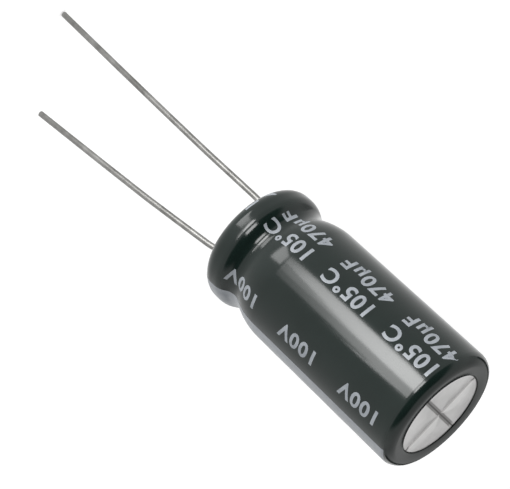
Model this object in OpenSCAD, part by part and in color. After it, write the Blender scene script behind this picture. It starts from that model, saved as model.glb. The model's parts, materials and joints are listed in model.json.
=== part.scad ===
// Radial aluminium electrolytic capacitor for through-hole boards.
// The seating plane is z = 0, midway between the two wires. The body stands above it
// with its vent at the top, and the wires point down. The cathode is on the +X side.

/* [Body] */
// Outer diameter of the bare can
can_d = 16; // [15.6:0.1:20]
// Height from the seating plane to the top of the shoulder
body_h = 33.0; // [26.5:0.25:45]
// Wall of the drawn can
can_wall = 0.4; // [0.3:0.05:0.5]
// Outer radius of the shoulder at the closed end
shoulder_r = 1.3; // [1:0.1:2.2]
// How far the closed end lies below the top of the shoulder
dish_depth = 0.1; // [0.05:0.05:0.7]
// Radius of the flat of the closed end
dish_r = 5.7; // [5:0.1:5.9]

/* [Sealed end] */
// Height of the rolled groove's centre above the seating plane
bead_z = 5.3; // [5:0.1:6.5]
// Depth of the rolled groove
bead_depth = 0.95; // [0.6:0.05:1.15]
// Hollow radius at the bottom of the groove
bead_r = 2.0; // [1.4:0.1:2.4]
// Round of the ring below the groove
ring_r = 2.4; // [1.6:0.1:3.2]
// Round of the body above the groove
neck_r = 9.0; // [4:0.5:10]
// Outer radius of the curled edge
curl_r = 1.9; // [1.7:0.1:2.1]
// Outer radius of the hook that the curl ends in
hook_r = 0.65; // [0.6:0.05:0.75]

/* [Vent] */
// Width of a vent score at the surface
score_w = 0.7; // [0.4:0.05:0.9]
// Depth of a vent score
score_depth = 0.25; // [0.15:0.05:0.3]
// Distance between a score's end and the edge of the flat
score_end_gap = 0.3; // [0.1:0.1:1]

/* [Sleeve] */
// Thickness of the shrunk film
sleeve_wall = 0.13; // [0.08:0.01:0.2]
// Gap between the film and the can
sleeve_gap = 0.02; // [0.01:0.01:0.04]
// Width of the film's flat lip under the curled edge
sleeve_lip_w = 0.8; // [0.5:0.1:0.9]

/* [Seal] */
// Height of the seal
seal_h = 6.6; // [6:0.1:7.5]
// Radius of the recess round each terminal
recess_r = 1.7; // [1.6:0.05:1.7]
// Depth of the recess round each terminal
recess_depth = 0.5; // [0.3:0.05:0.7]

/* [Terminals] */
// Distance between the two wires at the board
pitch = 7.5; // [7:0.1:7.6]
// Diameter of a tab's round boss
boss_d = 2.0; // [1.6:0.1:2.4]
// Thickness of a tab's flat
tab_t = 0.3; // [0.2:0.05:0.4]
// Width of a tab's flat
tab_w = 2.8; // [2:0.1:3.4]
// Height of the taper between the boss and the flat
taper_h = 0.7; // [0.5:0.1:0.9]
// Winding left above the tabs
tab_head_l = 4.5; // [2:0.5:8]

/* [Wires] */
// Wire diameter
wire_d = 0.8; // [0.6:0.05:0.9]
// Straight wire below the seating plane, as much as a board is thick
stub_l = 1.7; // [1:0.1:2.5]
// Radius of the bends, along the wire's middle
bend_r = 1.0; // [0.8:0.1:1.2]
// Reach of the anode wire below the seating plane
anode_l = 44.5; // [25:0.5:50]
// Outward turn of the anode wire at its first bend, in degrees
anode_kick = 4; // [1:0.5:15]
// Lean of the long part of the anode wire, in degrees
anode_lean = 1.1; // [0.5:0.1:5]
// Reach of the cathode wire below the seating plane
cathode_l = 36; // [20:0.5:45]
// Outward turn of the cathode wire at its first bend, in degrees
cathode_kick = 15; // [7:0.5:20]
// Lean of the cathode wire below its second bend, in degrees
cathode_lean = 6.1; // [1:0.1:7]
// Lean of the long part of the cathode wire, in degrees
cathode_tip_lean = 4.9; // [0.5:0.1:6]

/* [Winding] */
// Diameter of the hollow core that the mandrel leaves
core_d = 2.4; // [1.5:0.1:3]
// Gap between the seal and the winding
foot_gap = 1.0; // [0.8:0.1:1.4]
// Gap between the winding and the closed end
head_gap = 0.25; // [0.2:0.05:0.8]
// Gap between the taped winding and the can
side_gap = 0.2; // [0.15:0.05:0.5]
// Thickness of the tape
tape_t = 0.08; // [0.05:0.01:0.12]
// Winding left bare at each end of the tape
tape_margin = 2; // [1:0.5:4]

/* [Hidden] */
$fn = 96;
// Steps in an arc of a turned outline
ARC_STEPS = 8;
// How far a cutter passes the surface that it cuts
OVER = 0.01;
// Gap that stands for a squeezed or wound-in fit
FIT = 0.02;
// Size and height of the weld bead between a boss and its wire
weld_r = 0.62;
weld_h = 0.4;
// Wire between the first two bends, and from the second down to the third
kick_run = 1.7;
first_run = 11;
// How far a boss stands out of the seal
boss_stand = 0.2;

skin = sleeve_gap + sleeve_wall;
sleeve_r = can_d / 2 + skin;
can_in = skin + can_wall;
curl_axis_r = sleeve_r - curl_r;
seal_face_z = skin + hook_r + FIT;
seal_top_z = seal_face_z + seal_h;
terminal_z = seal_face_z + recess_depth;
vent_z = body_h - skin - dish_depth;
ceiling_z = vent_z - can_wall;
element_z = seal_top_z + foot_gap;
element_top_z = ceiling_z - head_gap;
element_r = can_d / 2 - can_wall - side_gap - tape_t;
tab_top_z = element_top_z - tab_head_l;

// Points of an arc about centre = [r, z], from angle a0 to a1; 0 degrees points outward.
function arc(centre, radius, a0, a1) =
    [for (i = [0 : ARC_STEPS])
        let (a = a0 + (a1 - a0) * i / ARC_STEPS)
        centre + radius * [cos(a), sin(a)]];

function reversed(points) = [for (i = [len(points) - 1 : -1 : 0]) points[i]];

// How far the rolled groove reaches along the body on the side whose round is round_r,
// and the steepest angle of that side.
function flank(round_r) =
    sqrt(pow(round_r + bead_r, 2) - pow(round_r + bead_r - bead_depth, 2));
function flank_angle(round_r) = asin(flank(round_r) / (round_r + bead_r));

// The outlines below run from the sealed end up. Each is moved in by inset from the
// film's surface and keeps the centres of its arcs, so a wall between two is even.
function groove(inset) = concat(
    arc([sleeve_r - ring_r, bead_z - flank(ring_r)], ring_r - inset, 0, flank_angle(ring_r)),
    arc([sleeve_r - bead_depth + bead_r, bead_z], bead_r + inset,
        180 + flank_angle(ring_r), 180 - flank_angle(neck_r)),
    arc([sleeve_r - neck_r, bead_z + flank(neck_r)], neck_r - inset, -flank_angle(neck_r), 0));

function curl(inset) = arc([curl_axis_r, curl_r], curl_r - inset, -90, 0);

function hook(inset) = arc([curl_axis_r, skin + hook_r], skin + hook_r - inset, -180, -90);

function shoulder(inset) = concat(
    arc([sleeve_r - shoulder_r, body_h - shoulder_r], shoulder_r - inset, 0, 90),
    [[dish_r, body_h - inset - dish_depth]]);

// Shrunk film: an even skin that turns in over the curled edge and over the shoulder,
// and leaves the vent bare.
module sleeve() {
    lip_r = curl_axis_r - sleeve_lip_w;
    outside = concat([[lip_r, 0]], curl(0), groove(0), shoulder(0));
    inside = concat([[lip_r, sleeve_wall]], curl(sleeve_wall), groove(sleeve_wall), shoulder(sleeve_wall));
    color([0.13, 0.15, 0.15])
        rotate_extrude()
            polygon(concat(outside, reversed(inside)));
}

// Drawn can: dished and scored above, rolled in round the seal, and curled under it
// with its edge hooked up into the rubber.
module can() {
    outside = concat(hook(skin), curl(skin), groove(skin), shoulder(skin), [[0, vent_z]]);
    inside = concat(hook(can_in), curl(can_in), groove(can_in), shoulder(can_in), [[0, ceiling_z]]);
    color([0.74, 0.74, 0.73])
        difference() {
            rotate_extrude()
                polygon(concat(outside, reversed(inside)));
            for (turn = [0, 90])
                rotate([0, 0, turn]) vent_score();
        }
}

// One score across the closed end: a groove of V section.
module vent_score() {
    translate([0, 0, vent_z])
        rotate([90, 0, 0])
            linear_extrude(height = 2 * (dish_r - score_end_gap), center = true)
                polygon([[-score_w / 2, OVER], [score_w / 2, OVER], [0, -score_depth]]);
}

// Places for the two terminals: -1 is the anode's side, 1 the cathode's.
module at_terminal(way) {
    translate([way * pitch / 2, 0, 0]) children();
}

// Rubber bung: it fills the can from the hooked edge to above the groove, which pinches
// it, and grips each terminal in a hole with a recess at its bare face.
module rubber_seal() {
    fit_in = can_in + FIT;
    hollow = hook(fit_in);
    color([0.17, 0.17, 0.16])
        difference() {
            intersection() {
                rotate_extrude()
                    polygon(concat([[0, seal_face_z], [hollow[0][0], seal_face_z]], hollow,
                                   curl(fit_in), groove(fit_in), [[0, bead_z + flank(neck_r)]]));
                cylinder(h = seal_top_z, r = can_d);
            }
            for (way = [-1, 1]) at_terminal(way) {
                translate([0, 0, seal_face_z - OVER])
                    cylinder(h = recess_depth + OVER, r = recess_r);
                cylinder(h = seal_top_z + OVER, r = boss_d / 2 + FIT);
            }
        }
}

// The flat of a tab as it lies in the winding, grown by gap on every side.
module tab_flat(gap) {
    translate([0, 0, (tab_top_z + gap) / 2])
        cube([tab_t + 2 * gap, tab_w + 2 * gap, tab_top_z + gap], center = true);
}

// Foils and papers wound on a mandrel: one roll with its hollow core, and the two slots
// that the tabs' flats are wound into.
module wound_element() {
    color([0.62, 0.58, 0.5])
        difference() {
            translate([0, 0, element_z])
                cylinder(h = element_top_z - element_z, r = element_r);
            translate([0, 0, element_z - OVER])
                cylinder(h = element_top_z - element_z + 2 * OVER, r = core_d / 2);
            for (way = [-1, 1]) at_terminal(way) tab_flat(FIT);
        }
}

// Adhesive tape round the winding.
module element_tape() {
    tape_h = element_top_z - element_z - 2 * tape_margin;
    color([0.8, 0.72, 0.45])
        translate([0, 0, element_z + tape_margin])
            difference() {
                cylinder(h = tape_h, r = element_r + tape_t);
                translate([0, 0, -OVER]) cylinder(h = tape_h + 2 * OVER, r = element_r);
            }
}

// Aluminium terminal: a round boss in the seal, pressed flat above it.
module terminal_tab() {
    boss_top = seal_top_z + boss_stand;
    translate([0, 0, terminal_z])
        cylinder(h = boss_top - terminal_z, r = boss_d / 2);
    // the pressed part: a wedge across the boss, down to the thickness of the flat
    intersection() {
        translate([0, 0, terminal_z]) cylinder(h = boss_top + taper_h - terminal_z, r = boss_d / 2);
        translate([0, 0, boss_top])
            rotate([90, 0, 0])
                linear_extrude(height = boss_d + tab_w, center = true)
                    polygon([[-boss_d / 2, -OVER], [boss_d / 2, -OVER], [tab_t / 2, taper_h],
                             [-tab_t / 2, taper_h]]);
    }
    intersection() {
        tab_flat(0);
        translate([0, 0, boss_top + taper_h / 2]) cylinder(h = body_h, r = tab_w);
    }
}

module anode_tab() {
    color([0.82, 0.82, 0.82]) at_terminal(-1) terminal_tab();
}

module cathode_tab() {
    color([0.82, 0.82, 0.82]) at_terminal(1) terminal_tab();
}

// A wire is drawn downward and turns toward +X. Each step draws its own length of wire
// from the origin and puts its children at the end of it.
module straight(length) {
    translate([0, 0, -length]) {
        cylinder(h = length, r = wire_d / 2);
        children();
    }
}

module bend(radius, angle) {
    side_x = angle < 0 ? -radius : radius;
    translate([side_x, 0, 0])
        rotate([90, angle < 0 ? 0 : 180, 0])
            rotate([0, 0, angle < 0 ? angle : 0])
                rotate_extrude(angle = abs(angle))
                    translate([radius, 0]) circle(r = wire_d / 2);
    translate([side_x, 0, 0])
        rotate([0, -angle, 0])
            translate([-side_x, 0, 0]) children();
}

// Weld bead on the boss, and the straight stub that goes through the board.
module wire_stub() {
    translate([0, 0, terminal_z - weld_h])
        cylinder(h = weld_h, r1 = wire_d / 2, r2 = weld_r);
    translate([0, 0, terminal_z - weld_h])
        straight(terminal_z - weld_h + stub_l) children();
}

// Long wire: set out a little below the board, then nearly upright.
module anode_wire() {
    bends = 2 * bend_r * sin(anode_kick) + kick_run * cos(anode_kick) + bend_r * sin(anode_lean);
    color([0.7, 0.7, 0.7])
        at_terminal(-1) rotate([0, 0, 180]) wire_stub()
            bend(bend_r, anode_kick) straight(kick_run) bend(bend_r, -anode_kick)
                straight(first_run) bend(bend_r, anode_lean)
                    straight((anode_l - stub_l - bends - first_run) / cos(anode_lean));
}

// Short wire: it leans outward all the way down.
module cathode_wire() {
    bends = bend_r * (2 * sin(cathode_kick) - sin(cathode_tip_lean))
            + kick_run * cos(cathode_kick) + first_run * cos(cathode_lean);
    color([0.7, 0.7, 0.7])
        at_terminal(1) wire_stub()
            bend(bend_r, cathode_kick) straight(kick_run) bend(bend_r, cathode_lean - cathode_kick)
                straight(first_run) bend(bend_r, cathode_tip_lean - cathode_lean)
                    straight((cathode_l - stub_l - bends) / cos(cathode_tip_lean));
}

sleeve();
can();
rubber_seal();
wound_element();
element_tape();
anode_tab();
cathode_tab();
anode_wire();
cathode_wire();
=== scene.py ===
"""Radial aluminium electrolytic capacitor: the winding, its tabs and wires, the rubber
seal, the scored can and the printed film sleeve, in the order they are put together."""
import json
import math

import bmesh
import bpy
import numpy as np
from mathutils import Matrix, Vector

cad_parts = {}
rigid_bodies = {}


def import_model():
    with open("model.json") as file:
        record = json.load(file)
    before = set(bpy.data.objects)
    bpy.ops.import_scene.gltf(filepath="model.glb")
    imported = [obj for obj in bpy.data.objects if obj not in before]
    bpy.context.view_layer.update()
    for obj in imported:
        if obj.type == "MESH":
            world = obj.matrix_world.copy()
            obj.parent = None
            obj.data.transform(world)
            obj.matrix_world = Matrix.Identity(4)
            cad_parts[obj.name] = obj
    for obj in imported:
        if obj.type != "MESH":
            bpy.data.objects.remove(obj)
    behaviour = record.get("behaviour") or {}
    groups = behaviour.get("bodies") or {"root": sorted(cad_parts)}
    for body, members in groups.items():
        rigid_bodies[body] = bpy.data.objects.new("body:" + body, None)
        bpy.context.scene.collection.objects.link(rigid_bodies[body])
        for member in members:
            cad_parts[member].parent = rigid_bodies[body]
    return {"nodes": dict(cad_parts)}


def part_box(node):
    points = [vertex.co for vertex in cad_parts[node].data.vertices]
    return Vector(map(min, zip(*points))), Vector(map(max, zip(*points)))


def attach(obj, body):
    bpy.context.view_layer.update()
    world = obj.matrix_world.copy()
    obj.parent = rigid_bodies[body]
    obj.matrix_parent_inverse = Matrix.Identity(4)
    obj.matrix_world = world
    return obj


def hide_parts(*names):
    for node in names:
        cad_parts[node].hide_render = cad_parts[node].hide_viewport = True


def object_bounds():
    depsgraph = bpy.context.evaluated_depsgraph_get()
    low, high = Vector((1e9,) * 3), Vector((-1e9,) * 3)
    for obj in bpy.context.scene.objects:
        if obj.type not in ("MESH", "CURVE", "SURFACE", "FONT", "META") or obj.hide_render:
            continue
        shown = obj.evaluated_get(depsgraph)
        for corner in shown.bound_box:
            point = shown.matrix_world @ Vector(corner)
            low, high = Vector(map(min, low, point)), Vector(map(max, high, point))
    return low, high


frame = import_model()
cad_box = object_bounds()


# ---------------------------------------------------------------------------
# The winding: etched foils and papers rolled up on a mandrel and soaked, with
# the paper outside and the edges of every turn showing at its two ends.
# ---------------------------------------------------------------------------
class Value:
    """One output socket of a node tree, with Python's arithmetic on it."""

    def __init__(self, tree, socket):
        self.tree, self.socket = tree, socket

    def maths(self, operation, *values):
        return self.tree.node(self.tree.maths_type, {"operation": operation}, *values)

    def __add__(self, other): return self.maths("ADD", self, other)
    def __radd__(self, other): return self.maths("ADD", other, self)
    def __sub__(self, other): return self.maths("SUBTRACT", self, other)
    def __rsub__(self, other): return self.maths("SUBTRACT", other, self)
    def __mul__(self, other): return self.maths("MULTIPLY", self, other)
    def __rmul__(self, other): return self.maths("MULTIPLY", other, self)
    def __truediv__(self, other): return self.maths("DIVIDE", self, other)
    def __pow__(self, other): return self.maths("POWER", self, other)
    def __abs__(self): return self.maths("ABSOLUTE", self)
    def __mod__(self, other): return self.maths("FLOORED_MODULO", self, other)


class Tree:
    """A node tree being built. node() adds one node of any type: its settings are set
    first, then its inputs, given in order or by name, then one output is returned."""

    maths_type = "ShaderNodeMath"

    def __init__(self, tree):
        self.tree = tree

    def node(self, kind, settings=None, *inputs, output=0, **named):
        made = self.tree.nodes.new(kind)
        for key, value in (settings or {}).items():
            if key == "stops":
                ramp = made.color_ramp.elements
                while len(ramp) > len(value):
                    ramp.remove(ramp[-1])
                while len(ramp) < len(value):
                    ramp.new(1.0)
                for stop, (place, tint) in zip(ramp, value):
                    stop.position, stop.color = place, tuple(tint) + (1.0,)
            else:
                setattr(made, key, value)
        labelled = [(label.replace("_", " "), value) for label, value in named.items()]
        for key, value in list(enumerate(inputs)) + labelled:
            self.put(made.inputs[key], value)
        return Value(self, made.outputs[output])

    def put(self, socket, value):
        if isinstance(value, Value):
            self.tree.links.new(value.socket, socket)
        elif value is not None:
            if socket.type == "RGBA" and len(value) == 3:
                value = tuple(value) + (1.0,)
            socket.default_value = value

    def axes(self, vector):
        return [self.node("ShaderNodeSeparateXYZ", None, vector, output=k) for k in range(3)]

    def larger(self, one, other): return one.maths("MAXIMUM", one, other)

    def fade(self, value, start, end):
        """0 before start and 1 after end, eased between them; start may be past end."""
        return self.node("ShaderNodeMapRange", {"interpolation_type": "SMOOTHSTEP"},
                         Value=value, From_Min=start, From_Max=end)

    def ramp(self, value, start, first, end, second):
        """From the first colour to the second as value goes from start to end."""
        return self.node("ShaderNodeValToRGB", {"stops": [(start, first), (end, second)]}, value)


class Finish(Tree):
    """A material with one Principled surface, made of nodes on Object coordinates in mm."""

    def __init__(self, name, **constants):
        self.material = bpy.data.materials.new(name)
        self.material.use_nodes = True
        super().__init__(self.material.node_tree)
        self.surface = self.tree.nodes["Principled BSDF"]
        self.set(**constants)

    def set(self, **sockets):
        for key, value in sockets.items():
            self.put(self.surface.inputs[key.replace("_", " ")], value)

    def place(self, scale=(1000, 1000, 1000)):
        raw = self.node("ShaderNodeTexCoord", output="Object")
        return self.node("ShaderNodeMapping", None, Vector=raw, Scale=scale)

    def noise(self, place, scale, detail=4.0, roughness=0.55):
        return self.node("ShaderNodeTexNoise", None, Vector=place, Scale=scale,
                         Detail=detail, Roughness=roughness)

    def blend(self, amount, first, second):
        """The first colour where amount is 0 and the second where it is 1."""
        mixed = self.node("ShaderNodeMix", {"data_type": "RGBA"}, output=2, Factor=amount)
        for colour_input, tint in zip(mixed.socket.node.inputs[6:8], (first, second)):
            self.put(colour_input, tint)
        return mixed

    def bump(self, height, strength, distance):
        return self.node("ShaderNodeBump", None, Height=height, Strength=strength,
                         Distance=distance)


def dress(name, finish):
    """Gives a carried-over solid its finish."""
    solid = frame["nodes"][name]
    solid.data.materials.clear()
    solid.data.materials.append(finish.material)
    for face in solid.data.polygons:
        face.material_index = 0


winding = Finish("soaked_winding", Roughness=0.7, Specular_IOR_Level=0.4)
spot = winding.place()
wx, wy, _ = winding.axes(spot)
from_axis = (wx * wx + wy * wy) ** 0.5
turn_pitch = 0.16
turns = abs((from_axis / turn_pitch) % 1.0 - 0.5) * 2.0
facing = winding.node("ShaderNodeNewGeometry", output="Normal")
on_end = winding.fade(abs(winding.axes(facing)[2]), 0.7, 0.9)
fibres = winding.noise(winding.place((900, 900, 5000)), 1.2, 6.0)
paper_tint = winding.ramp(fibres, 0.3, (0.30, 0.24, 0.16), 0.75, (0.56, 0.49, 0.37))
end_tint = winding.blend(turns, (0.16, 0.15, 0.14), (0.60, 0.57, 0.50))
winding.set(Base_Color=winding.blend(on_end, paper_tint, end_tint), Roughness=0.5 + 0.3 * fibres,
            Normal=winding.bump(turns * on_end + 0.4 * fibres, 0.6, 0.00003))
dress("wound_element", winding)

tape = Finish("winding_tape", Coat_Weight=0.3)
tape_cloud = tape.noise(tape.place(), 0.9, 5.0)
tape_wrinkle = tape.noise(tape.place((500, 500, 3000)), 1.0)
tape.set(Base_Color=tape.ramp(tape_cloud, 0.3, (0.50, 0.34, 0.08), 0.7, (0.68, 0.50, 0.17)),
         Roughness=0.22 + 0.2 * tape_cloud, Normal=tape.bump(tape_wrinkle, 0.3, 0.00002))
dress("element_tape", tape)


# ---------------------------------------------------------------------------
# The terminals: aluminium pins pressed flat where they are wound into the foils,
# with a round boss that the rubber grips. Bright, with draw lines along them.
# ---------------------------------------------------------------------------
terminal = Finish("pressed_tab", Metallic=1.0)
draw_lines = terminal.noise(terminal.place((3000, 3000, 160)), 1.0, 5.0)
terminal_cloud = terminal.noise(terminal.place(), 0.8, 3.0)
terminal.set(Base_Color=terminal.ramp(terminal_cloud, 0.3, (0.62, 0.62, 0.62),
                                      0.75, (0.86, 0.86, 0.85)),
             Roughness=0.24 + 0.25 * draw_lines,
             Normal=terminal.bump(draw_lines, 0.35, 0.00002))
dress("anode_tab", terminal)
dress("cathode_tab", terminal)


# ---------------------------------------------------------------------------
# The wires: tin-plated copper-clad steel, butt-welded to the bosses with a small
# bead, cut to two lengths and slightly bent in handling; the short one is the cathode.
# ---------------------------------------------------------------------------
class Pattern(Tree):
    """A Geometry Nodes tree with named inputs, run once on an object to give plain mesh."""

    def __init__(self, name, **sockets):
        group = bpy.data.node_groups.new(name, "GeometryNodeTree")
        self.ids = {}
        for label, kind in [("Geometry", "Geometry")] + list(sockets.items()):
            opened = group.interface.new_socket(label, in_out="INPUT",
                                                socket_type="NodeSocket" + kind)
            self.ids[label] = opened.identifier
        group.interface.new_socket("Geometry", in_out="OUTPUT",
                                   socket_type="NodeSocketGeometry")
        super().__init__(group)
        self.source = group.nodes.new("NodeGroupInput")
        self.target = group.nodes.new("NodeGroupOutput")

    def given(self, label): return Value(self, self.source.outputs[label])

    def finish(self, shape):
        real = self.node("GeometryNodeRealizeInstances", None, shape)
        dressed = self.node("GeometryNodeSetMaterial", None, real,
                            Material=self.given("Material"))
        self.put(self.target.inputs[0], dressed)

    def run(self, name, base, **values):
        """Runs the tree on base, a curve or mesh datablock, and returns the mesh object."""
        carrier = bpy.data.objects.new(name + "_base", base)
        bpy.context.scene.collection.objects.link(carrier)
        modifier = carrier.modifiers.new(name, "NODES")
        modifier.node_group = self.tree
        for label, value in values.items():
            modifier[self.ids[label]] = value
        bpy.context.view_layer.update()
        ready = carrier.evaluated_get(bpy.context.evaluated_depsgraph_get())
        mesh = bpy.data.meshes.new_from_object(ready)
        carrier.modifiers.remove(modifier)
        bpy.data.objects.remove(carrier)
        mesh.name = name
        made = bpy.data.objects.new(name, mesh)
        bpy.context.scene.collection.objects.link(made)
        return made


def outline_mesh(name, points):
    """A chain of points [r, z] as a bare mesh, for a tree to turn."""
    mesh = bpy.data.meshes.new(name)
    links = [(k, k + 1) for k in range(len(points) - 1)]
    mesh.from_pydata([(r, 0.0, z) for r, z in points], links, [])
    return mesh


# A closed outline turned about the Z axis: a grid of sides by outline points, each
# row taking its radius and height from one point of the outline.
turned = Pattern("turned", Sides="Int", Material="Material")
outline = turned.given("Geometry")
count = turned.node("GeometryNodeAttributeDomainSize", None, outline)
grid = turned.node("GeometryNodeMeshGrid", None, 1.0, 1.0, turned.given("Sides") + 1.0, count)
here = turned.node("GeometryNodeInputPosition")
grid_x, grid_y, _ = turned.axes(here)
row = (grid_y + 0.5) * (count - 1.0)
taken = turned.node("GeometryNodeSampleIndex", {"data_type": "FLOAT_VECTOR"}, outline, here,
                    Index=row.maths("ROUND", row))
point_r, _, point_z = turned.axes(taken)
angle = (grid_x + 0.5) * (2 * math.pi)
placed = turned.node("ShaderNodeCombineXYZ", None, point_r * angle.maths("COSINE", angle),
                     point_r * angle.maths("SINE", angle), point_z)
spun = turned.node("GeometryNodeSetPosition", None, grid, Position=placed)
merged = turned.node("GeometryNodeMergeByDistance", None, spun, Distance=0.000001)
turned.finish(turned.node("GeometryNodeSetShadeSmooth", None, merged))


def turn(name, points, sides, finish):
    """The solid of revolution of a closed outline, with faces outward."""
    made = turned.run(name, outline_mesh(name, list(points) + [points[0]]), Sides=sides,
                      Material=finish.material)
    work = bmesh.new()
    work.from_mesh(made.data)
    bmesh.ops.remove_doubles(work, verts=work.verts, dist=1e-7)
    bmesh.ops.dissolve_degenerate(work, dist=1e-8, edges=work.edges)
    bmesh.ops.recalc_face_normals(work, faces=work.faces)
    work.to_mesh(made.data)
    work.free()
    made.data.materials.clear()
    made.data.materials.append(finish.material)
    made.data.shade_smooth()
    return made


# Round wire along a curve, closed at both ends.
drawn_wire = Pattern("drawn_wire", Radius="Float", Material="Material")
ring = drawn_wire.node("GeometryNodeCurvePrimitiveCircle", None, Resolution=28,
                       Radius=drawn_wire.given("Radius"))
tube = drawn_wire.node("GeometryNodeCurveToMesh", None, drawn_wire.given("Geometry"), ring,
                       Fill_Caps=True)
drawn_wire.finish(drawn_wire.node("GeometryNodeSetShadeSmooth", None, tube))

wire_r = 0.0004
tinned = Finish("tinned_wire", Metallic=1.0)
die_marks = tinned.noise(tinned.place((2600, 2600, 70)), 1.0, 5.0)
tin_cloud = tinned.noise(tinned.place(), 0.55, 4.0)
tin_grain = tinned.noise(tinned.place(), 9.0, 3.0)
tinned.set(Base_Color=tinned.ramp(tin_cloud, 0.3, (0.16, 0.158, 0.151),
                                  0.72, (0.30, 0.297, 0.287)),
           Roughness=0.26 + 0.16 * die_marks + 0.1 * tin_cloud,
           Normal=tinned.bump(0.6 * die_marks + 0.4 * tin_grain, 0.5, 0.000012))


bend_reach = 0.0012


def smooth_path(points):
    """A wire's centre line through points in the XZ plane, with rounded corners."""
    pts = [Vector((x, 0.0, z)) for x, z in points]
    path = [pts[0]]
    for before, corner, after in zip(pts, pts[1:], pts[2:]):
        cut = min(bend_reach, (corner - before).length / 2, (after - corner).length / 2)
        start = corner + (before - corner).normalized() * cut
        end = corner + (after - corner).normalized() * cut
        path += [(1 - t) ** 2 * start + 2 * t * (1 - t) * corner + t * t * end
                 for t in (0, 0.2, 0.4, 0.6, 0.8, 1)]
    return path + [pts[-1]]


def make_wire(node, points):
    """One lead along its points, with the weld bead that joins it to its boss."""
    low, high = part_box(node)
    path = smooth_path(points)
    curve = bpy.data.curves.new(node + "_path", "CURVE")
    curve.dimensions = "3D"
    line = curve.splines.new("POLY")
    line.points.add(len(path) - 1)
    for point, place in zip(line.points, path):
        point.co = (*place, 1.0)
    wire = drawn_wire.run(node.replace("_wire", "_lead"), curve, Radius=wire_r,
                          Material=tinned.material)
    # the weld bead: a collar of tin and aluminium that runs down from the boss
    x, top = points[0][0], high[2]
    flare = [(0.0, top), (0.00060, top), (0.00061, top - 0.00005), (0.00055, top - 0.00014),
             (0.00047, top - 0.00024), (0.00042, top - 0.00036), (0.0, top - 0.00040)]
    bead = turn("weld_bead", flare, 28, tinned)
    bead.data.transform(Matrix.Translation((x, 0, 0)))
    joined = bmesh.new()
    joined.from_mesh(wire.data)
    joined.from_mesh(bead.data)
    joined.to_mesh(wire.data)
    joined.free()
    bpy.data.objects.remove(bead)
    wire.data.materials.clear()
    wire.data.materials.append(tinned.material)
    wire.data.shade_smooth()
    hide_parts(node)
    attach(wire, "root")


anode_low, anode_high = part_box("anode_wire")
cathode_low, cathode_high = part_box("cathode_wire")
half_pitch = 0.00375
stub_end = -0.0017
make_wire("anode_wire", [(-half_pitch, anode_high[2]), (-half_pitch, stub_end),
                         (-0.00388, -0.0034), (-0.00388, -0.0132), (-0.00401, -0.0220),
                         (-0.00422, -0.0330), (-0.00448, anode_low[2] + 0.00001)])
make_wire("cathode_wire", [(half_pitch, cathode_high[2]), (half_pitch, stub_end),
                           (0.00421, -0.0034), (0.00484, -0.0090), (0.00549, -0.0151),
                           (0.00623, -0.0236), (0.00726, cathode_low[2] + 0.00004)])


# ---------------------------------------------------------------------------
# The seal: a moulded bung of dark rubber that the groove and the curled edge hold
# in the can, with a recess round each terminal.
# ---------------------------------------------------------------------------
seal = Finish("seal_rubber", Specular_IOR_Level=0.35)
rubber_place = seal.place()
rubber_grain = seal.noise(rubber_place, 14.0, 5.0)
rubber_cloud = seal.noise(rubber_place, 0.7, 4.0)
seal.set(Base_Color=seal.ramp(rubber_cloud, 0.3, (0.014, 0.014, 0.013),
                              0.75, (0.040, 0.040, 0.038)),
         Roughness=0.55 + 0.25 * rubber_grain, Normal=seal.bump(rubber_grain, 0.5, 0.00003))
dress("rubber_seal", seal)


# ---------------------------------------------------------------------------
# The can: deep-drawn aluminium, grooved round the seal, curled under it, and
# scored with a cross at its closed end so that it opens there under pressure.
# ---------------------------------------------------------------------------
body_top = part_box("sleeve")[1][2]
body_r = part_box("sleeve")[1][0]
film_t, film_gap, can_t = 0.00013, 0.00002, 0.0004
skin = film_t + film_gap
groove_z, groove_depth, groove_r = 0.0053, 0.00095, 0.0020
ring_r, neck_r, curl_r, hook_r = 0.0024, 0.0090, 0.0019, 0.00065
shoulder_reach, shoulder_drop = 0.00115, 0.00145
dish_r, dish_depth = 0.0057, 0.0001


def arc(centre_r, centre_z, radius, start, end, steps=12):
    """Points [r, z] round a centre, from one angle in degrees to another."""
    return [(centre_r + radius * math.cos(math.radians(start + (end - start) * k / steps)),
             centre_z + radius * math.sin(math.radians(start + (end - start) * k / steps)))
            for k in range(steps + 1)]


def flank(round_r):
    """Height over the groove's middle, and angle, where it meets a round beside it."""
    across = round_r + groove_r
    reach = math.sqrt(across ** 2 - (across - groove_depth) ** 2)
    return reach, math.degrees(math.asin(reach / across))


def body_side(inset):
    """The outline from the ring at the sealed end up to the top of the neck."""
    (ring_reach, ring_angle), (neck_reach, neck_angle) = flank(ring_r), flank(neck_r)
    groove_centre = body_r - groove_depth + groove_r
    return (arc(body_r - ring_r, groove_z - ring_reach, ring_r - inset, 0, ring_angle)
            + arc(groove_centre, groove_z, groove_r + inset,
                  180 + ring_angle, 180 - neck_angle, 16)[1:]
            + arc(body_r - neck_r, groove_z + neck_reach, neck_r - inset, -neck_angle, 0)[1:])


def curl_side(inset):
    """The outline of the curled edge, from its lowest point out to the ring."""
    return arc(body_r - curl_r, curl_r, curl_r - inset, -90, 0)


def shoulder_side(inset):
    """The outline of the round shoulder at the closed end."""
    return [(body_r - shoulder_reach + (shoulder_reach - inset) * math.cos(a),
             body_top - shoulder_drop + (shoulder_drop - inset) * math.sin(a))
            for a in (math.pi / 2 * k / 16 for k in range(17))]


def hook_side(inset):
    """The outline of the can's edge, turned up against the seal."""
    return arc(body_r - curl_r, skin + hook_r, skin + hook_r - inset, -180, -90, 8)


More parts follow.
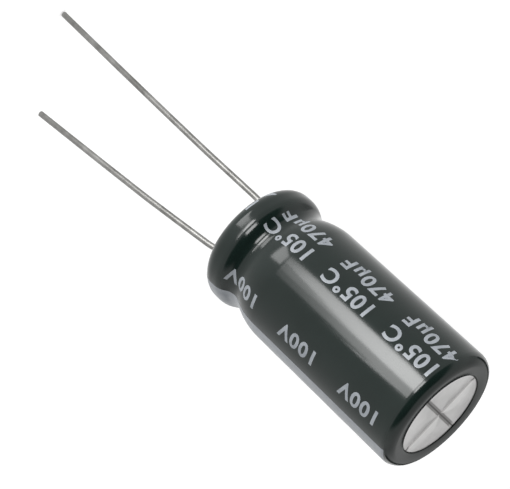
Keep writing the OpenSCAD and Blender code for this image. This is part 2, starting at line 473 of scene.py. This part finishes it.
vent_z = body_top - skin - dish_depth
can_finish = Finish("can_aluminium", Metallic=1.0)
can_place = can_finish.place()
can_fine = can_finish.noise(can_place, 6.0, 6.0, 0.65)
can_cloud = can_finish.noise(can_place, 0.35, 4.0)
can_x, can_y, can_z = can_finish.axes(can_place)
at_vent = can_finish.fade(can_z, 31.0, 31.5)


def score_shade_amount(start, end):
    """How much shade is painted at the two scores of the closed end: 1 along them, fading out from
    end to start in mm.
    """
    return at_vent * can_finish.larger(can_finish.fade(abs(can_x), start, end),
                                       can_finish.fade(abs(can_y), start, end))


drawn_tint = can_finish.ramp(can_cloud, 0.3, (0.60, 0.595, 0.59), 0.72, (0.72, 0.715, 0.71))
# painted shade in the two scores: a grey band beside each score and a near-black line along its
# bottom, where the groove falls into shadow
score_shade_tint = can_finish.blend(score_shade_amount(0.40, 0.22), drawn_tint, (0.40, 0.395, 0.39))
can_finish.set(Base_Color=can_finish.blend(score_shade_amount(0.17, 0.04), score_shade_tint,
                                           (0.10, 0.098, 0.095)),
               Roughness=0.30 + 0.14 * can_fine,
               Normal=can_finish.bump(can_fine, 0.25, 0.00002))

plate_low = vent_z - 0.00034
can_wall = (hook_side(skin) + curl_side(skin)[1:] + body_side(skin) + shoulder_side(skin)
            + [(dish_r + 0.0002, vent_z - 0.00002), (dish_r, vent_z - 0.0001), (dish_r, plate_low)]
            + [(0.0, plate_low)])
inside = skin + can_t
plate_under = plate_low - 0.0002
inner = [(0.0, plate_under), (dish_r, plate_under)] + list(reversed(
    hook_side(inside) + curl_side(inside)[1:] + body_side(inside) + shoulder_side(inside)))
can = turn("can_shell", can_wall + inner, 128, can_finish)

# the vent: a disc that is flat at its rim, swells a little in each quarter and sinks
# into two V scores that cross at the middle
score_w, score_depth = 0.00036, 0.00018
score_margin, score_run_out = 0.0003, 0.0004
pillow, pillow_edge = 0.00014, 0.0010


def vent_height(x, y):
    """Height of the vent's face over its rim."""
    away, along = sorted((abs(x), abs(y)))
    reach = math.hypot(x, y) / dish_r
    swell = pillow * (1 - reach ** 4) * (1 - math.exp(-(away / pillow_edge) ** 2))
    ends = min(1.0, max(0.0, (dish_r - score_margin - along) / score_run_out))
    score = score_depth * max(0.0, 1 - (away / score_w) ** 1.6) * ends
    return swell - score


def vent_disc():
    """A square grid drawn out to a disc; its lines crowd toward the two scores."""
    steps = 60
    half = [0.25 * k / steps + 0.75 * (k / steps) ** 2.2 for k in range(steps + 1)]
    line = [-v for v in reversed(half[1:])] + half
    work = bmesh.new()
    face = []
    for v in line:
        rank = []
        for u in line:
            x = dish_r * u * math.sqrt(1 - v * v / 2)
            y = dish_r * v * math.sqrt(1 - u * u / 2)
            rank.append(work.verts.new((x, y, vent_z + vent_height(x, y))))
        face.append(rank)
    for rank, following in zip(face, face[1:]):
        for i in range(len(line) - 1):
            work.faces.new((rank[i], rank[i + 1], following[i + 1], following[i]))
    rim = (face[0][:-1] + [r[-1] for r in face[:-1]] + face[-1][:0:-1]
           + [r[0] for r in face[:0:-1]])
    under = [work.verts.new((v.co.x, v.co.y, plate_low - 0.0001)) for v in rim]
    for k in range(len(rim)):
        after = (k + 1) % len(rim)
        work.faces.new((rim[after], rim[k], under[k], under[after]))
    work.faces.new(list(reversed(under)))
    bmesh.ops.recalc_face_normals(work, faces=work.faces)
    return work


vent = vent_disc()
vent.from_mesh(can.data)
vent.to_mesh(can.data)
vent.free()
can.data.shade_smooth()
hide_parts("can")
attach(can, "root")


# ---------------------------------------------------------------------------
# The sleeve: thin dark heat-shrink film, pulled tight over the groove and turned in
# over the curled edge and the shoulder; its cut edge lies on the rim of the vent.
# ---------------------------------------------------------------------------
film = Finish("sleeve_film", Specular_IOR_Level=0.33, IOR=1.5)
film_place = film.place()
film_orange = film.noise(film_place, 2.2, 3.0)
film_cloud = film.noise(film_place, 0.22, 4.0)
film_scuff = film.noise(film.place((700, 700, 4200)), 1.0, 6.0)
film.set(Base_Color=film.ramp(film_cloud, 0.3, (0.0022, 0.0062, 0.0050),
                              0.75, (0.0045, 0.0095, 0.0080)),
         Roughness=0.12 + 0.04 * film_cloud + 0.05 * film.fade(film_scuff, 0.62, 0.8),
         Normal=film.bump(film_orange, 0.04, 0.00003))

lip_r = body_r - curl_r - 0.0008
edge_z = body_top - dish_depth
cut_edge = [(dish_r + 0.00010, edge_z), (dish_r + 0.00003, edge_z - 0.00002),
            (dish_r, edge_z - 0.00006)]
outside = [(lip_r, 0.0)] + curl_side(0) + body_side(0) + shoulder_side(0) + cut_edge
within = ([(lip_r, film_t)] + curl_side(film_t) + body_side(film_t) + shoulder_side(film_t)
          + [(dish_r, edge_z - film_t)])
sleeve = turn("film_sleeve", outside + list(reversed(within)), 192, film)
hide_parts("sleeve")
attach(sleeve, "root")


# ---------------------------------------------------------------------------
# The print on the film, in pale grey ink: the band that marks the cathode, with its
# minus signs, and the ratings in columns that run along the body.
# ---------------------------------------------------------------------------
ink = Finish("film_ink", Specular_IOR_Level=0.5)
ink_place = ink.place()
ink_grain = ink.noise(ink_place, 7.0, 4.0)
ink_cloud = ink.noise(ink_place, 0.8, 4.0)
ink.set(Base_Color=ink.ramp(ink_cloud, 0.3, (0.155, 0.169, 0.186), 0.75, (0.215, 0.231, 0.25)),
        Roughness=0.30 + 0.12 * ink_grain, Normal=ink.bump(ink_grain, 0.15, 0.00001))
mark = Finish("minus_ink", Specular_IOR_Level=0.5)
mark_grain = mark.noise(mark.place(), 7.0, 4.0)
mark.set(Base_Color=mark.ramp(mark_grain, 0.3, (0.010, 0.012, 0.012),
                              0.75, (0.020, 0.022, 0.022)),
         Roughness=0.28 + 0.1 * mark_grain, Normal=mark.bump(mark_grain, 0.15, 0.00001))

# lengths along the film's outline, set to equal the height on the straight side
print_line = curl_side(0)[2:] + body_side(0) + shoulder_side(0)[1:]
print_r, print_z = np.array(print_line).T
print_run = np.concatenate([[0], np.cumsum(np.hypot(np.diff(print_r), np.diff(print_z)))])
side_point = -18
print_run += print_z[side_point] - print_run[side_point]


def on_film(degrees, run, lift):
    """A point of the film: an angle from the front toward the cathode's side, and a
    length along the body, which is the height wherever the side is straight."""
    r = float(np.interp(run, print_run, print_r)) + lift
    z = float(np.interp(run, print_run, print_z))
    a = math.radians(degrees)
    return Vector((r * math.sin(a), -r * math.cos(a), z))


# degrees of turn round the body for one metre along its surface
across = math.degrees(1 / body_r)


def printed(name, flat, finish, lift):
    """Wraps a flat bmesh, x in degrees and y in metres along the body, on to the film."""
    for vert in flat.verts:
        vert.co = on_film(vert.co.x, vert.co.y, lift)
    mesh = bpy.data.meshes.new(name)
    bmesh.ops.recalc_face_normals(flat, faces=flat.faces)
    flat.to_mesh(mesh)
    flat.free()
    made = bpy.data.objects.new(name, mesh)
    bpy.context.scene.collection.objects.link(made)
    mesh.materials.append(finish.material)
    front = mesh.polygons[0]
    if front.normal.dot(Vector((front.center.x, front.center.y, 0))) < 0:
        mesh.flip_normals()
    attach(made, "root")


def cut_lines(flat, axis, start, end, step):
    """Cuts a flat bmesh at even steps, so that it can bend round the body."""
    normal = Vector((1, 0, 0)) if axis == 0 else Vector((0, 1, 0))
    place = start
    while place < end:
        geom = flat.verts[:] + flat.edges[:] + flat.faces[:]
        bmesh.ops.bisect_plane(flat, geom=geom, plane_co=normal * place, plane_no=normal,
                               dist=1e-9)
        place += step


# the band: a grid that follows the ring, the groove and the neck
cathode_side, band_half = 90, 27.5
band_low, band_high = print_run[0] + 0.0003, body_top - shoulder_drop + 0.0006
levels = sorted({band_low, band_high, *np.linspace(band_low, band_high, 60),
                 *(run for run in print_run if band_low < run < band_high)})
band = bmesh.new()
columns = np.linspace(cathode_side - band_half, cathode_side + band_half, 45)
rows = [[band.verts.new((d, z, 0)) for d in columns] for z in levels]
for low_row, high_row in zip(rows, rows[1:]):
    for k in range(len(columns) - 1):
        band.faces.new((low_row[k], low_row[k + 1], high_row[k + 1], high_row[k]))
printed("cathode_band", band, ink, 0.000010)

# the minus signs: short bars with round ends along the middle of the band
bar_half, bar_r, bar_pitch, first_bar = 0.0013, 0.00034, 0.0052, 0.0133
bar_outline = [(bar_r * math.sin(math.radians(turn_to)),
                end * bar_half + bar_r * math.cos(math.radians(turn_to)))
               for end, first in ((1, -90), (-1, 90))
               for turn_to in (first + 180 * k / 8 for k in range(9))]
bars = bmesh.new()
for middle in np.arange(first_bar, band_high - 0.002, bar_pitch):
    bars.faces.new([bars.verts.new((cathode_side + x * across, middle + z, 0))
                    for x, z in bar_outline])
cut_lines(bars, 0, cathode_side - 4, cathode_side + 4, 1.0)
printed("minus_marks", bars, mark, 0.000016)


# the ratings: capitals of one height, repeated at one pitch, read from the vent down
letter_height, letter_pitch = 0.0019, 0.0103
capital_share, letter_weight, letter_gap = 0.69, 0.00008, 1.12
neck_end = 0.0100


def lettering(name, text, degrees, first_run, repeats):
    """A column of print: the text repeated along the body at one angle round it."""
    column = bmesh.new()
    for k in range(repeats):
        letters = bpy.data.curves.new(name, "FONT")
        letters.body = text
        letters.align_x, letters.align_y = "LEFT", "CENTER"
        letters.size = letter_height / capital_share
        letters.offset = letter_weight
        letters.space_character = letter_gap
        letters.resolution_u = 5
        holder = bpy.data.objects.new(name, letters)
        bpy.context.scene.collection.objects.link(holder)
        bpy.context.view_layer.update()
        ready = holder.evaluated_get(bpy.context.evaluated_depsgraph_get())
        flat = bpy.data.meshes.new_from_object(ready)
        bpy.data.objects.remove(holder)
        for vert in flat.vertices:
            x, y = vert.co.x, vert.co.y
            vert.co = (degrees + y * across, first_run - k * letter_pitch - x, 0)
        column.from_mesh(flat)
    bmesh.ops.remove_doubles(column, verts=column.verts, dist=1e-8)
    cut_lines(column, 0, degrees - 12, degrees + 12, 1.2)
    cut_lines(column, 1, band_low, neck_end, 0.00035)
    past_ends = [v for v in column.verts if v.co.y > band_high or v.co.y < band_low]
    bmesh.ops.delete(column, geom=past_ends, context="VERTS")
    printed(name, column, ink, 0.000012)


lettering("print_temperature", "105°C", -21.4, 0.0320, 4)
lettering("print_capacitance", "470µF", -42.5, 0.0320, 4)
lettering("print_voltage", "100V", 40.0, 0.0304, 3)


# ---------------------------------------------------------------------------
# The stage: a pale floor under the ends of the wires, soft light all round, lit cards
# in front for the long highlight, a dark card behind for the vent, and the camera.
# ---------------------------------------------------------------------------
def stage_sheet(name, corners, finish, first, second):
    """A flat sheet of the studio, painted in one tone with a faint cloud in it."""
    mesh = bpy.data.meshes.new(name)
    mesh.from_pydata(corners, [], [(0, 1, 2, 3)])
    sheet = bpy.data.objects.new(name, mesh)
    bpy.context.scene.collection.objects.link(sheet)
    cloud = finish.noise(finish.place((8, 8, 8)), 1.0, 3.0)
    finish.set(Base_Color=finish.ramp(cloud, 0.0, (first,) * 3, 1.0, (second,) * 3))
    mesh.materials.append(finish.material)
    return sheet


floor_z, floor_half = cad_box[0][2] - 0.0002, 6
floor_paint = Finish("floor_paint", Roughness=0.9, Specular_IOR_Level=0.1,
                     Emission_Color=(1, 1, 1), Emission_Strength=0.32)
floor = stage_sheet("floor", [(x * floor_half, y * floor_half, floor_z)
                              for x, y in ((-1, -1), (1, -1), (1, 1), (-1, 1))],
                    floor_paint, 0.93, 0.96)

shade_half, shade_y = 0.12, 0.1
shade_low, shade_high = body_top + 0.0017, body_top + 0.022
shade_paint = Finish("shade_card_paint", Roughness=0.9, Specular_IOR_Level=0.0)
shade_card = stage_sheet("shade_card", [(-shade_half, shade_y, shade_low),
                                        (shade_half, shade_y, shade_low),
                                        (shade_half, shade_y, shade_high),
                                        (-shade_half, shade_y, shade_high)],
                         shade_paint, 0.02, 0.03)
shade_card.visible_camera = shade_card.visible_diffuse = shade_card.visible_shadow = False

world = bpy.data.worlds.new("studio")
bpy.context.scene.world = world
world.use_nodes = True
sky = Tree(world.node_tree)
_, ahead_way, up_way = sky.axes(sky.node("ShaderNodeTexCoord", output="Generated"))
dark_room = (sky.fade(ahead_way, -0.15, -0.45) * sky.fade(up_way, -0.05, 0.12)
             * sky.fade(up_way, 0.93, 0.78))
grey_backdrop = sky.fade(ahead_way, 0.2, 0.6) * sky.fade(up_way, 0.80, 0.50)
low_grey = 0.5 * sky.fade(up_way, 0.36, 0.10)
light_left = (1.0 - 0.93 * dark_room) * (1.0 - 0.32 * grey_backdrop * (1.0 + low_grey))
studio_light = world.node_tree.nodes["Background"]
sky.put(studio_light.inputs["Color"], light_left)
studio_light.inputs["Strength"].default_value = 1.08


def lit_card(name, wide, high, glow, place, tilt):
    """A rectangular light that the camera doesn't see; glow is its radiance."""
    lamp = bpy.data.lights.new(name, "AREA")
    lamp.shape, lamp.size, lamp.size_y = "RECTANGLE", wide, high
    lamp.energy = glow * math.pi * wide * high
    holder = bpy.data.objects.new(name, lamp)
    bpy.context.scene.collection.objects.link(holder)
    holder.location, holder.rotation_euler = place, (tilt, 0, 0)
    holder.visible_camera = False


# cards that lie on the floor facing up: left, right, far and near edge, and glow
card_z = floor_z + 0.0005
for name, left, right, far, near, glow in (
        ("card_vent_end", -0.088, 0.008, -0.275, -0.186, 19.5),
        ("card_far", -0.070, 0.006, -0.186, -0.158, 16.5),
        ("card_middle", -0.060, -0.004, -0.158, -0.136, 14.3),
        ("card_near", -0.050, -0.012, -0.136, -0.117, 12.0),
        ("card_lead_end", -0.043, -0.014, -0.117, -0.109, 7.0),
        ("card_fade", -0.038, -0.016, -0.109, -0.102, 3.0),
        ("flank_middle", -0.004, 0.008, -0.158, -0.136, 8.0),
        ("flank_near", -0.012, 0.010, -0.136, -0.108, 4.5),
        ("edge_vent_end", 0.008, 0.058, -0.265, -0.176, 8.5),
        ("edge_far", 0.006, 0.046, -0.176, -0.150, 6.0),
        ("edge_middle", 0.008, 0.038, -0.150, -0.128, 3.5),
        ("edge_near", 0.010, 0.032, -0.128, -0.106, 2.0),
        ("edge_rim", 0.058, 0.064, -0.245, -0.160, 16.0),
        ("card_ring", -0.030, 0.002, -0.092, -0.044, 6.5)):
    lit_card(name, right - left, near - far, glow,
             ((left + right) / 2, (far + near) / 2, card_z), math.pi)

# one card that stands upright and faces the part, for the groove and the ring
lit_card("card_upright", 0.050, 0.030, 14.0, (-0.019, -0.12, 0.021), math.pi / 2)

view_from = Vector((0, -0.1735, 0.09414))
view_right = Vector((-0.68543, 0.34614, 0.64060))
view_up = Vector((-0.72813, -0.32335, -0.60438))
view_ahead = Vector((0.00207, 0.88071, -0.47367))
lens = bpy.data.cameras.new("camera")
lens.lens, lens.sensor_width, lens.clip_start, lens.clip_end = 114.7, 36.0, 0.005, 20.0
camera = bpy.data.objects.new("camera", lens)
bpy.context.scene.collection.objects.link(camera)
turned_to = Matrix((view_right, view_up, -view_ahead)).transposed().to_4x4()
camera.matrix_world = Matrix.Translation(view_from) @ turned_to
bpy.context.scene.camera = camera
bpy.context.scene.view_settings.view_transform = "Standard"
